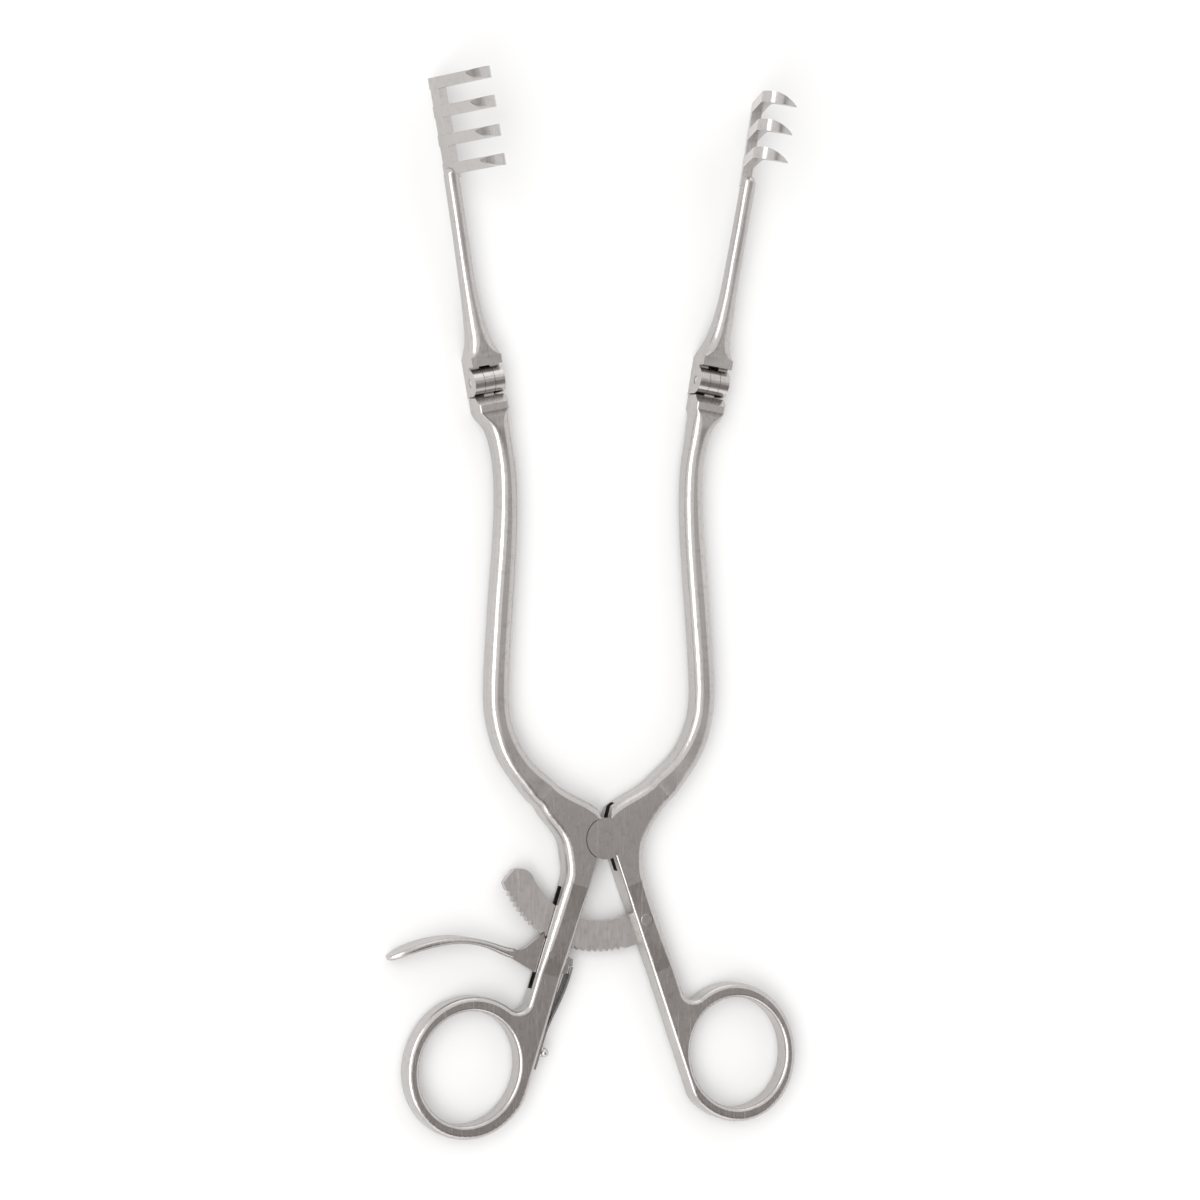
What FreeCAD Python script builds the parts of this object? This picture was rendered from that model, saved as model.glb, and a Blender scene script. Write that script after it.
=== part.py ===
import FreeCAD, Part
import math
import os

# Self-retaining spreading retractor, lying on its back.
# X runs across the instrument, Y from the finger rings to the rakes, Z up towards the prongs.
# The origin is on the pivot axis, at the back face of the box joint. All sizes are in millimetres.

Vec = FreeCAD.Vector

# Box joint
joint_thick = 8.0          # over the two cheeks, Z
mid_z = joint_thick / 2    # every pin, slot and ratchet piece is centred on this height
cheek_radius = 6.0         # round end of each cheek of the right handle
tongue_thick = 2.6         # middle layer, carried by the left handle
tongue_clear = 0.05        # running clearance on each face of the tongue
seat_clear = 0.22          # gap between a round end and the seat that it turns in
slot_radius = 10.8         # slot milled in the right handle for the tongue
top_gap_half_deg = 15.0    # each side of the V-shaped gap above the pivot
corner_radius = 9.5        # how far from the pivot the V-shaped gap reaches
pivot_pin_dia = 4.0
pivot_pin_clear = 0.04

# Arms and handles
edge_round = 2.2           # rounding of the outer edges at the joint and handle
inner_round = 0.6          # nearly sharp edges on the facing sides of the handles
handle_thick = 7.4
ring_thick = 6.4
ring_round = 1.4           # outer edges of a finger ring
hole_round = 1.05          # edges of the finger hole
ring_long = 20.6           # half axes of the outer edge
ring_tilt_deg = 20.0
crotch_round = 3.5         # between the ring and the outer side of the shank
ring_wall = 4.2            # metal beyond the ends of the finger hole
ring_hole_long = ring_long - ring_wall
ring_hole_short = ring_hole_long - 1.3
ring_hole_tilt_deg = 18.0
shank_run = 27.0           # from the joint block to the ring block
ring_run = shank_run + ring_long + 11.23   # to the middle of the ring

# Ratchet
tooth_pitch_deg = 3.2
tooth_count = 24
steep_share = 0.38         # of a pitch, taken by the side of a tooth that holds
land_share = 0.06          # of a pitch, the flat tip
ratchet_outer = 32.9
ratchet_inner = 24.0
tooth_depth = 1.0
ratchet_thick = 2.2
first_tooth_deg = -79.9    # polar angle of the gullet nearest the right handle
ratchet_end_deg = -164.0
foot_depth = 5.4           # how far the bar reaches into the right handle
foot_clear = 0.02
slot_clear = 0.35          # each side of the ratchet bar in the slot of the left handle
slot_outside = (1.66, 32.2)   # ends of the slot on the outer side of the shank, from its top
slot_through = (6.8, 28.0)    # ends of the part that goes right through
slot_floor = 2.6           # depth of the floor elsewhere, from the inner side
bar_pin_at = (27.2, -61.6)   # distance and angle from the pivot
bar_pin_dia = 3.6
bar_pin_clear = 0.05
bar_pin_inset = 0.38       # the ends are flush with the flats of the handle

# Release lever
lever_thick = 2.2
lever_pin_at = (-16.9, -32.9)
lever_pin_dia = 2.0
lever_pin_clear = 0.04
pawl_gullet = 14           # the gullet that the pawl stands in
pawl_bite = 0.68           # and how deep
pawl_seat = 0.05           # clearance between the nose of the tail and the leaf spring

# Leaf spring and its screw
spring_thick = 0.6
spring_wide = 4.0
screw_head_dia = 4.2
screw_shank_dia = 2.0
screw_run = ring_run - 10.2
spring_lift = 2.13         # how far the free end stands off the handle
spring_end_run = 22.9      # the free end, from the top of the shank
spring_seat = 0.03         # under the screw

# Blade hinges
hinge_at = (35.2, 131.7)
blade_lean_deg = 10.0
hinge_wide = 9.2
hinge_thick = joint_thick
knuckle_radius = 4.0
knuckle_gap = 0.4          # between a knuckle and the shoulder that it turns past
tongue_share = 1 / 3
ear_clear = 0.12
hinge_pin_dia = 2.3
hinge_pin_clear = 0.03
head_round = 0.7
chamfer_high = 2.3         # on the front edge of an arm's head
neck_rise = 1.2            # the necks of the knuckles end this far in front of the pin

# Rakes
rake_tilt_deg = 18.0
plate_thick = 2.9
spine_high = 3.9
spine_shift = -0.46        # inner lower edge of the spine, outwards from the hinge's middle
spine_rise = 0.1           # and above it
prong_wide = 3.25
prong_pitch = 8.17
prong_reach = 26.0
hook_reach = 10.2
hook_thick = 2.4           # just after the bend
bend_radius = 2.9
tip_thick = 0.35
tip_wide = 0.3
spine_start = 58.0         # from the hinge pin, along the blade
first_left_prong = 60.8
first_right_prong = 64.9


def point(x, y, z=0.0):
    return Vec(x, y, z)


def line(a, b):
    return Part.LineSegment(a, b).toShape()


def smooth(points, start=None, end=None):
    """One curve through the points, with its end directions where they matter."""
    curve = Part.BSplineCurve()
    if start is None:
        curve.interpolate(Points=points)
    else:
        curve.interpolate(Points=points, InitialTangent=start, FinalTangent=end)
    return curve.toShape()


def slab(edges, low, high):
    """A flat piece: a closed outline at Z=0, raised to lie between two heights."""
    face = Part.Face(Part.Wire(Part.__sortEdges__(edges)))
    body = face.extrude(point(0, 0, high - low))
    body.translate(point(0, 0, low))
    return body


def disc(radius, low, high, x=0.0, y=0.0):
    return Part.makeCylinder(radius, high - low, point(x, y, low))


def level_edges(shape, height, keep):
    """Edges that lie flat at one height and whose middle passes a test."""
    found = []
    for edge in shape.Edges:
        box = edge.BoundBox
        if abs(box.ZMin - height) > 1e-4 or abs(box.ZMax - height) > 1e-4:
            continue
        middle = edge.valueAt((edge.FirstParameter + edge.LastParameter) / 2)
        if keep(middle):
            found.append(edge)
    return found


def oblong(inner, outer, thick, inner_r, outer_r, height=mid_z):
    """A rounded rectangle across an arm, standing on the line from its inner to its outer edge."""
    a = point(inner[0], inner[1], height)
    b = point(outer[0], outer[1], height)
    across = (b - a).normalize()
    up = point(0, 0, 1)
    half = thick / 2

    def corner(at, side, lift, r):
        centre = at - across * (side * r) + up * (lift * (half - r))
        mid = centre + (across * side + up * lift).normalize() * r
        return centre + across * (side * r), mid, centre + up * (lift * r)

    b_low = corner(b, 1, -1, outer_r)
    b_high = corner(b, 1, 1, outer_r)
    a_high = corner(a, -1, 1, inner_r)
    a_low = corner(a, -1, -1, inner_r)
    edges = [
        Part.Arc(b_low[2], b_low[1], b_low[0]).toShape(),
        line(b_low[0], b_high[0]),
        Part.Arc(b_high[0], b_high[1], b_high[2]).toShape(),
        line(b_high[2], a_high[2]),
        Part.Arc(a_high[2], a_high[1], a_high[0]).toShape(),
        line(a_high[0], a_low[0]),
        Part.Arc(a_low[0], a_low[1], a_low[2]).toShape(),
        line(a_low[2], b_low[2]),
    ]
    return Part.Wire(edges)


def loft(wires):
    """A smooth solid through the sections; a low degree keeps it from swinging between them."""
    solid, ruled, closed, degree = True, False, False, 3
    return Part.makeLoft(wires, solid, ruled, closed, degree)


# Each station of an arm: inner edge, outer edge, thickness, rounding
arm_root = ((15.1, 16.65), (20.95, 10.2))
arm_stations = [
    ((27.95, 116.6), (34.5, 116.1), 7.6, 2.7),
    ((27.15, 112.0), (33.35, 112.0), 7.1, 2.6),
    ((26.1, 105.0), (32.45, 105.0), 6.9, 2.7),
    ((25.75, 97.0), (32.3, 97.0), 6.9, 2.7),
    ((26.0, 86.0), (32.8, 86.0), 6.9, 2.7),
    ((26.9, 72.0), (34.0, 72.0), 7.0, 2.7),
    ((27.8, 60.0), (34.9, 60.0), 7.0, 2.7),
    ((28.5, 49.0), (35.6, 49.0), 7.2, 2.7),
    ((28.75, 40.0), (35.75, 40.0), 7.2, 2.6),
    ((27.9, 33.6), (34.5, 31.7), 7.4, 2.5),
    ((25.6, 27.9), (31.9, 24.4), 7.55, 2.4),
    ((21.0, 21.7), (26.95, 16.9), 7.78, 2.3),
    ((18.1, 19.25), (23.95, 13.2), 7.92, 2.25),
]


def mirrored(shape):
    return shape.mirror(point(0, 0, 0), point(1, 0, 0))


def at_hinge(shape, side=1):
    """Moves a piece drawn about its hinge pin (X outwards along the pin, Y towards the rake) into place."""
    shape.rotate(point(0, 0, 0), point(0, 0, 1), -blade_lean_deg)
    shape.translate(point(hinge_at[0], hinge_at[1], mid_z))
    return shape if side > 0 else mirrored(shape)


def arm(root):
    """The arm above the joint, from the hinge head down to the root that the joint block takes."""
    lean = math.radians(blade_lean_deg)

    def head_point(x, y):
        return (hinge_at[0] + x * math.cos(lean) + y * math.sin(lean),
                hinge_at[1] - x * math.sin(lean) + y * math.cos(lean))

    half = hinge_wide / 2
    head_low = -(knuckle_radius + knuckle_gap + 4.2)
    wires = [oblong(head_point(-half, head_low), head_point(half, head_low), hinge_thick,
                    head_round, head_round),
             oblong(head_point(-half * 0.97, head_low - 3.4), head_point(half * 0.72, head_low - 3.4),
                    hinge_thick - 0.1, 2.4, 2.4)]
    for inner, outer, thick, r in arm_stations:
        wires.append(oblong(inner, outer, thick, r, r))
    wires.append(oblong(root[0], root[1], joint_thick, edge_round, edge_round))
    return loft(wires)


class Side:
    """Sizes that differ between the two handles, all written for positive X."""

    def __init__(self, lean, start, width, joint_outer, ring_slim, flat_cut, hole_shift, heel_round):
        self.lean = math.radians(lean)
        self.start = start
        self.width = width
        self.joint_outer = joint_outer
        self.ring_short = ring_long - ring_slim
        self.heel_round = heel_round
        self.down = point(math.sin(self.lean), -math.cos(self.lean))
        self.out = point(math.cos(self.lean), math.sin(self.lean))
        self.ring_at = self.at(ring_run, self.ring_short - flat_cut)
        self.hole_at = self.at(ring_run + 0.2, self.ring_short - flat_cut + hole_shift)

    def at(self, run, depth):
        """A place by its distance along the shank and its depth from the inner side."""
        p = point(*self.start) + self.down * run + self.out * depth
        return p.x, p.y

    def inner_at(self, run):
        return self.at(run, 0.0)

    def outer_at(self, run):
        return self.at(run, self.width)

    def run_of(self, p):
        return (point(p.x, p.y) - point(*self.start)).dot(self.down)

    def depth_of(self, p):
        return (point(p.x, p.y) - point(*self.start)).dot(self.out)


right_side = Side(19.1, (6.3, -14.3), 7.2,
                  [(16.75, 5.4), (14.2, 1.4), (12.7, -2.7), (12.45, -7.0)], 1.9, 1.3, 0.26, 9.0)
left_side = Side(18.3, (5.1, -14.3), 7.6,
                 [(19.0, 7.4), (15.7, 3.35), (13.1, -0.7), (12.15, -5.2)], 1.2, 0.42, 0.54, 12.0)


def joint_block(side):
    """The flat middle of a handle, from the arm root to the top of the shank."""
    root_in, root_out = arm_root
    gap = math.radians(top_gap_half_deg)
    corner = point(corner_radius * math.sin(gap), corner_radius * math.cos(gap))
    heart = point(2.0 * math.sin(gap), 2.0 * math.cos(gap))
    across = (point(*root_out) - point(*root_in)).normalize()
    along = point(across.y, -across.x)
    top = smooth([point(*root_in), point(8.0, 12.3), corner], along, point(-0.8, -0.6))
    shank_in = point(*side.inner_at(0))
    shank_out = point(*side.outer_at(0))
    outer = smooth([point(*root_out)] + [point(*p) for p in side.joint_outer] + [shank_out],
                   along, side.down)
    low_heart = shank_in - side.down * 12.6
    body = slab([line(point(*root_in), point(*root_out)), outer, line(shank_out, shank_in),
                 line(shank_in, low_heart), line(low_heart, heart), line(heart, corner), top],
                0, joint_thick)

    def on_outer(p):
        beside_root = (point(p.x, p.y) - (point(*root_in) + point(*root_out)) * 0.5).Length > 3.6
        return p.x > 11.0 and beside_root and p.y > shank_out.y

    def on_top(p):
        return p.y > 10.5 and p.x < root_in[0]

    picked = []
    for height in (0, joint_thick):
        picked += level_edges(body, height, lambda p: on_outer(p) or on_top(p))
    body = body.makeFillet(edge_round, picked)
    inner = []
    for height in (0, joint_thick):
        middle = (shank_in + low_heart) * 0.5
        inner += level_edges(body, height, lambda p: (point(p.x, p.y) - middle).Length < 0.5)
    return body.makeFillet(inner_round, inner)


def shank(side):
    """The straight handle between the joint block and the ring block."""
    wires = []
    for share, thick, r_in, r_out in ((0.0, joint_thick, inner_round, edge_round),
                                      (0.25, handle_thick, 0.8, 2.2),
                                      (0.6, handle_thick - 0.3, 1.0, 2.0),
                                      (1.0, ring_thick, ring_round, ring_round)):
        run = shank_run * share
        wires.append(oblong(side.inner_at(run), side.outer_at(run), thick, r_in, r_out))
    return loft(wires)


def tilted_oval(centre, long_half, short_half, tilt_deg, low, high):
    """An elliptical slab whose long axis leans outwards at the bottom."""
    edge = Part.Ellipse(point(0, 0), long_half, short_half).toShape()
    edge.rotate(point(0, 0), point(0, 0, 1), tilt_deg - 90)
    edge.translate(point(*centre))
    return slab([edge], low, high)


def upright_edges(shape, keep):
    """Edges that run straight up, picked by their place in plan."""
    found = []
    for edge in shape.Edges:
        box = edge.BoundBox
        if box.XLength < 1e-4 and box.YLength < 1e-4 and keep(edge.valueAt(edge.FirstParameter)):
            found.append(edge)
    return found


def ring_block(side):
    """The finger ring with the foot of the shank that runs into it."""
    low = mid_z - ring_thick / 2
    high = mid_z + ring_thick / 2
    foot_in = point(*side.inner_at(shank_run))
    foot_out = point(*side.outer_at(shank_run))
    reach = side.down * (ring_run - shank_run + 0.17)
    foot = slab([line(foot_out, foot_in), line(foot_in, foot_in + reach),
                 line(foot_in + reach, foot_out + reach), line(foot_out + reach, foot_out)], low, high)
    body = tilted_oval(side.ring_at, ring_long, side.ring_short, ring_tilt_deg, low, high).fuse(foot)
    away = side.out * -ring_long
    top = foot_in - side.down * 5.0
    end = foot_in + side.down * (ring_long * 3)
    beyond = slab([line(top, end), line(end, end + away),
                   line(end + away, top + away), line(top + away, top)], low - 1, high + 1)
    body = body.cut(beyond).removeSplitter()

    def in_crotch(p):
        return side.depth_of(p) > side.width / 2 and shank_run + 2.0 < side.run_of(p) < ring_run

    def at_heel(p):
        return side.depth_of(p) < side.width / 2 and side.run_of(p) > ring_run

    body = body.makeFillet(crotch_round, upright_edges(body, in_crotch))
    body = body.makeFillet(side.heel_round, upright_edges(body, at_heel))
    foot_mid = (foot_in + foot_out) * 0.5
    picked = []
    for height in (low, high):
        picked += level_edges(body, height, lambda p: (point(p.x, p.y) - foot_mid).Length > 1.0)
    body = body.makeFillet(ring_round, picked)
    body = body.cut(tilted_oval(side.hole_at, ring_hole_long, ring_hole_short, ring_hole_tilt_deg,
                                low - 1, high + 1))
    picked = []
    for height in (low, high):
        picked += level_edges(body, height, lambda p: abs((point(p.x, p.y) - point(*side.hole_at)).Length
                                                          - ring_hole_short) < 2.0)
    return body.makeFillet(hole_round, picked)


def handle_forging(side):
    """One whole handle with no joint cuts, on the positive X side."""
    body = arm(arm_root)
    body = body.fuse([joint_block(side), shank(side), ring_block(side), hinge_tongue_head()])
    return body.removeSplitter()


def hinge_tongue_head():
    """The top of an arm: a shouldered head with the middle knuckle of the hinge."""
    half = hinge_wide / 2
    shoulder = -(knuckle_radius + knuckle_gap)
    low = shoulder - 4.2
    head = Part.makeBox(hinge_wide, shoulder - low, hinge_thick, point(-half, low, -hinge_thick / 2))
    head = head.makeFillet(head_round, [e for e in head.Edges
                                  if abs(e.BoundBox.YMin - low) < 1e-6 and abs(e.BoundBox.YMax - shoulder) < 1e-6])
    wedge = Part.Face(Part.makePolygon([
        point(-half - 1, shoulder + 0.1, hinge_thick / 2 + 0.1),
        point(-half - 1, shoulder + 0.1, hinge_thick / 2 - chamfer_high),
        point(-half - 1, shoulder - chamfer_high, hinge_thick / 2 + 0.1),
        point(-half - 1, shoulder + 0.1, hinge_thick / 2 + 0.1)]))
    head = head.cut(wedge.extrude(point(hinge_wide + 2, 0, 0)))
    wide = hinge_wide * tongue_share
    knuckle = Part.makeCylinder(knuckle_radius, wide, point(-wide / 2, 0, 0), point(1, 0, 0))
    neck = Part.makeBox(wide, -shoulder + 1.0, hinge_thick / 2 + neck_rise,
                        point(-wide / 2, shoulder - 1.0, -hinge_thick / 2))
    square = Part.makeBox(wide, knuckle_radius, knuckle_radius,
                          point(-wide / 2, 0, -hinge_thick / 2))
    tongue = neck.fuse([knuckle, square])
    body = head.fuse(tongue).removeSplitter()
    hole = Part.makeCylinder(hinge_pin_dia / 2 + hinge_pin_clear, hinge_wide + 2,
                             point(-half - 1, 0, 0), point(1, 0, 0))
    body = body.cut(hole)
    return at_hinge(body)


def tongue_low():
    return mid_z - tongue_thick / 2


def tongue_high():
    return mid_z + tongue_thick / 2


def slot_prism(run_from, run_to, depth_from, depth_to, half_high):
    """A straight milled slot in the left handle, by distance along and across its shank."""
    start = point(*left_side.start)

    def at(run, depth):
        p = start + left_side.down * run + left_side.out * depth
        return point(-p.x, p.y)

    corners = [at(run_from, depth_from), at(run_to, depth_from), at(run_to, depth_to), at(run_from, depth_to)]
    edges = [line(corners[i], corners[(i + 1) % 4]) for i in range(4)]
    return slab(edges, mid_z - half_high, mid_z + half_high)


def left_handle():
    """Left handle: tongue of the box joint, slot for the ratchet bar and the release lever."""
    body = mirrored(handle_forging(left_side))
    seat = cheek_radius + seat_clear
    low, high = tongue_low(), tongue_high()
    body = body.cut([disc(seat, -1, low), disc(seat, high, joint_thick + 1)])
    body = body.fuse(disc(cheek_radius, low, high))
    half_high = ratchet_thick / 2 + slot_clear
    beyond = left_side.width + 3.0
    slots = [slot_prism(slot_through[0], slot_through[1], -2.0, beyond, half_high),
             slot_prism(slot_outside[0], slot_outside[1], slot_floor, beyond, half_high)]
    body = body.cut(slots)
    body = body.cut(disc(pivot_pin_dia / 2 + pivot_pin_clear, -1, joint_thick + 1))
    body = body.cut(disc(lever_pin_dia / 2 + lever_pin_clear, -1, joint_thick + 1, *lever_pin_at))
    return body.cut(screw_hole())


def right_handle():
    """Right handle: the two cheeks of the box joint and the seat of the ratchet bar."""
    body = handle_forging(right_side)
    body = body.fuse(disc(cheek_radius, 0, joint_thick))
    low, high = tongue_low() - tongue_clear, tongue_high() + tongue_clear
    body = body.cut(disc(slot_radius, low, high))
    body = body.cut(disc(pivot_pin_dia / 2 + pivot_pin_clear, -1, joint_thick + 1))
    body = body.cut(ratchet_blank(foot_clear))
    return body.cut(bar_pin_hole())


def polar(radius, deg):
    return point(radius * math.cos(math.radians(deg)), radius * math.sin(math.radians(deg)))


def arc(a, b, c):
    return Part.Arc(a, b, c).toShape()


def foot_angle(radius, depth):
    """Polar angle at which a circle about the pivot reaches a depth in the right shank."""
    offset = point(*right_side.start).dot(right_side.out)
    return math.degrees(right_side.lean - math.acos((depth + offset) / radius))


def ratchet_blank(clear=0.0):
    """The curved bar without teeth. Its foot ends square to the right shank, its free end is rounded."""
    inner, outer = ratchet_inner - clear, ratchet_outer + clear
    wide = outer - inner
    foot_out = foot_angle(outer, foot_depth + clear)
    foot_in = foot_angle(inner, foot_depth + clear)
    end = ratchet_end_deg
    last = polar(outer, end + 4.8)
    corner = polar(inner + wide * 0.52, end + 0.4)
    crown = polar(inner + wide * 0.225, end + 1.9)
    turn = polar(inner, end + 8.0)
    edges = [
        arc(polar(outer, foot_out), polar(outer, (foot_out + end) / 2), last),
        line(last, corner),
        arc(corner, crown, turn),
        arc(turn, polar(inner, (foot_in + end) / 2), polar(inner, foot_in)),
        line(polar(inner, foot_in), polar(outer, foot_out)),
    ]
    return slab(edges, mid_z - ratchet_thick / 2 - clear, mid_z + ratchet_thick / 2 + clear)


def tooth_gullet(at_deg):
    """The notch between two teeth: its steep side holds the pawl, its gentle side lifts it."""
    past = 1.04
    radius = ratchet_outer + (past - 1.0) * tooth_depth
    bottom = polar(ratchet_outer - tooth_depth, at_deg)
    steep = polar(radius, at_deg - past * steep_share * tooth_pitch_deg)
    gentle = polar(radius, at_deg + past * (1.0 - steep_share - land_share) * tooth_pitch_deg)
    return slab([line(bottom, steep), line(steep, gentle), line(gentle, bottom)], -1, joint_thick + 1)


def ratchet_bar():
    """The ratchet bar: an arc about the pivot with saw teeth on its outer edge."""
    bar = ratchet_blank()
    gullets = [tooth_gullet(first_tooth_deg - i * tooth_pitch_deg) for i in range(tooth_count)]
    bar = bar.cut(gullets)
    return bar.cut(bar_pin_hole())


def bar_pin():
    """The flush pin that holds the foot of the bar in the right handle."""
    at = polar(*bar_pin_at)
    return disc(bar_pin_dia / 2, bar_pin_inset, joint_thick - bar_pin_inset, at.x, at.y)


def bar_pin_hole():
    at = polar(*bar_pin_at)
    return disc(bar_pin_dia / 2 + bar_pin_clear, -1, joint_thick + 1, at.x, at.y)


def pivot_pin():
    return disc(pivot_pin_dia / 2, 0.02, joint_thick - 0.02)


def lever_pin():
    half = handle_thick / 2 - 0.05
    return disc(lever_pin_dia / 2, mid_z - half, mid_z + half, *lever_pin_at)


def release_lever():
    """The pawl, its tab in the handle slot and the thumb plate, in one piece."""
    low, high = mid_z - lever_thick / 2, mid_z + lever_thick / 2
    pawl_deg = first_tooth_deg - pawl_gullet * tooth_pitch_deg
    bite = ratchet_outer - pawl_bite
    flank = polar(ratchet_outer + 0.45, pawl_deg - 0.4)
    back = polar(ratchet_outer + 0.4, pawl_deg + 1.75)
    shoulder = point(-27.8, -30.8)
    tab_low = point(-27.8, -33.8)
    heel = point(-21.2, -37.85)
    nose = [shank_point(spring_end_run + 2.1, spring_lift - pawl_seat),
            shank_point(spring_end_run + 0.1, spring_lift - pawl_seat)]
    tail = [point(-9.5, -36.5), point(-9.35, -34.7), point(-10.8, -33.9)]
    neck = smooth([tail[2], point(-14.9, -32.4), point(-17.0, -29.7), back])
    rest = [flank, polar(bite, pawl_deg + 0.18), polar(bite, pawl_deg + 0.44), back]
    under = [tail[2], tail[1], tail[0], nose[1], nose[0], point(-14.0, -38.7), point(-17.0, -38.2),
             heel, tab_low, shoulder]
    edges = [line(rest[i], rest[i + 1]) for i in range(len(rest) - 1)]
    edges += [line(under[i], under[i + 1]) for i in range(len(under) - 1)]
    edges += [neck, smooth([shoulder, point(-24.3, -30.85), point(-21.3, -28.85), flank])]
    tab = slab(edges, low, high)
    pad_stations = [(-27.5, -32.2, 2.2, 3.0), (-31.5, -30.9, 3.0, 2.4), (-37.6, -28.7, 5.0, 1.9),
                    (-43.8, -27.6, 7.0, 1.9), (-50.8, -27.7, 8.8, 2.1), (-57.8, -29.1, 9.0, 2.1),
                    (-62.6, -30.7, 7.0, 1.9), (-65.6, -31.8, 3.6, 1.4)]
    wires = []
    for i, (x, y, wide, thick) in enumerate(pad_stations):
        before = pad_stations[max(i - 1, 0)]
        after = pad_stations[min(i + 1, len(pad_stations) - 1)]
        slope = math.atan2(after[1] - before[1], after[0] - before[0])
        normal = (-math.sin(slope) * thick / 2, math.cos(slope) * thick / 2)
        r = min(thick, wide) * 0.42
        wires.append(oblong((x + normal[0], y + normal[1]), (x - normal[0], y - normal[1]), wide, r, r))
    pad = loft(wires)
    body = tab.fuse(pad)
    return body.cut(disc(lever_pin_dia / 2 + lever_pin_clear, -1, joint_thick + 1, *lever_pin_at))


def shank_point(run, lift):
    """A place by its distance along the left shank and how far it stands off the inner side."""
    x, y = left_side.at(run, -lift)
    return point(-x, y)


def screw_axis():
    """Foot point of the spring screw on the inner face of the left handle, and its outward direction."""
    foot = shank_point(screw_run, 0.0)
    return point(foot.x, foot.y, mid_z), point(left_side.out.x, -left_side.out.y, 0)


def screw_hole():
    foot, out = screw_axis()
    return Part.makeCylinder(screw_shank_dia / 2 + 0.05, 4.4, foot + out * 1.0, out * -1)


def spring_screw():
    """Domed screw head over a short shank in the handle."""
    foot, out = screw_axis()
    face = foot + out * (spring_thick + 0.06)
    shank_body = Part.makeCylinder(screw_shank_dia / 2, 3.2 + spring_thick, face, out * -1)
    head = Part.makeCylinder(screw_head_dia / 2, 0.5, face, out)
    radius = screw_head_dia / 2
    dome = Part.makeSphere(radius, face + out * (0.5 - radius * 0.35))
    cap = Part.makeCylinder(radius, radius, face + out * 0.5, out)
    return shank_body.fuse([head, dome.common(cap)]).removeSplitter()


def lever_spring():
    """Leaf spring, flat under its screw and bowed off the handle to press on the nose of the lever tail."""
    free = screw_run - spring_end_run
    stations = [(screw_run + 5.4, spring_seat), (screw_run, spring_seat),
                (screw_run - free * 0.26, spring_seat + 0.1),
                (screw_run - free * 0.6, spring_lift * 0.72), (spring_end_run + 4.5, spring_lift + 0.02),
                (spring_end_run, spring_lift)]
    near = [shank_point(run, lift) for run, lift in stations]
    far = [shank_point(run, lift + spring_thick) for run, lift in stations]
    edges = [smooth(near), smooth(far), line(near[0], far[0]), line(near[-1], far[-1])]
    leaf = slab(edges, mid_z - spring_wide / 2, mid_z + spring_wide / 2)
    return leaf.cut(screw_hole())


def hinge_pin(side):
    inset = 0.05
    pin = Part.makeCylinder(hinge_pin_dia / 2, hinge_wide - 2 * inset, point(-hinge_wide / 2 + inset, 0, 0),
                            point(1, 0, 0))
    return at_hinge(pin, side)


def blade_fork():
    """The two outer knuckles of the hinge with the square root of the blade arm."""
    half = hinge_wide / 2
    floor = knuckle_radius + knuckle_gap
    root_top = floor + 2.6
    inner = hinge_wide * tongue_share / 2 + ear_clear
    ears = []
    for x in (-half, inner):
        wide = half - inner
        knuckle = Part.makeCylinder(knuckle_radius, wide, point(x, 0, 0), point(1, 0, 0))
        cheek = Part.makeBox(wide, root_top, hinge_thick / 2 + neck_rise, point(x, 0, -hinge_thick / 2))
        heel = Part.makeBox(wide, knuckle_radius, knuckle_radius, point(x, -knuckle_radius, -hinge_thick / 2))
        ears += [knuckle, cheek, heel]
    root = Part.makeBox(hinge_wide, root_top - floor, hinge_thick, point(-half, floor, -hinge_thick / 2))
    return root.fuse(ears).removeSplitter(), root_top


# Stations of a blade arm: distance from the hinge pin, outward shift, rise, width, thickness, rounding
blade_stations = [
    (9.6, 0.1, 0.15, 8.6, 7.6, 2.8),
    (13.0, 0.35, 0.5, 7.0, 6.7, 2.9),
    (18.0, 0.7, 0.95, 5.8, 5.7, 2.5),
    (24.0, 0.9, 1.25, 4.9, 5.0, 2.15),
    (32.0, 0.95, 1.65, 4.5, 4.5, 1.95),
    (41.0, 0.95, 2.2, 4.35, 4.35, 1.85),
    (50.0, 0.95, 2.7, 4.3, 4.3, 1.85),
    (59.5, 0.95, 3.2, 4.3, 4.3, 1.85),
]


def local_section(y, centre, rise, wide, thick, r):
    """A rounded rectangle across the blade arm, in the hinge's own frame."""
    wire = oblong((centre - wide / 2, 0.0), (centre + wide / 2, 0.0), thick, r, r, rise)
    wire.translate(point(0, y, 0))
    return wire


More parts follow.
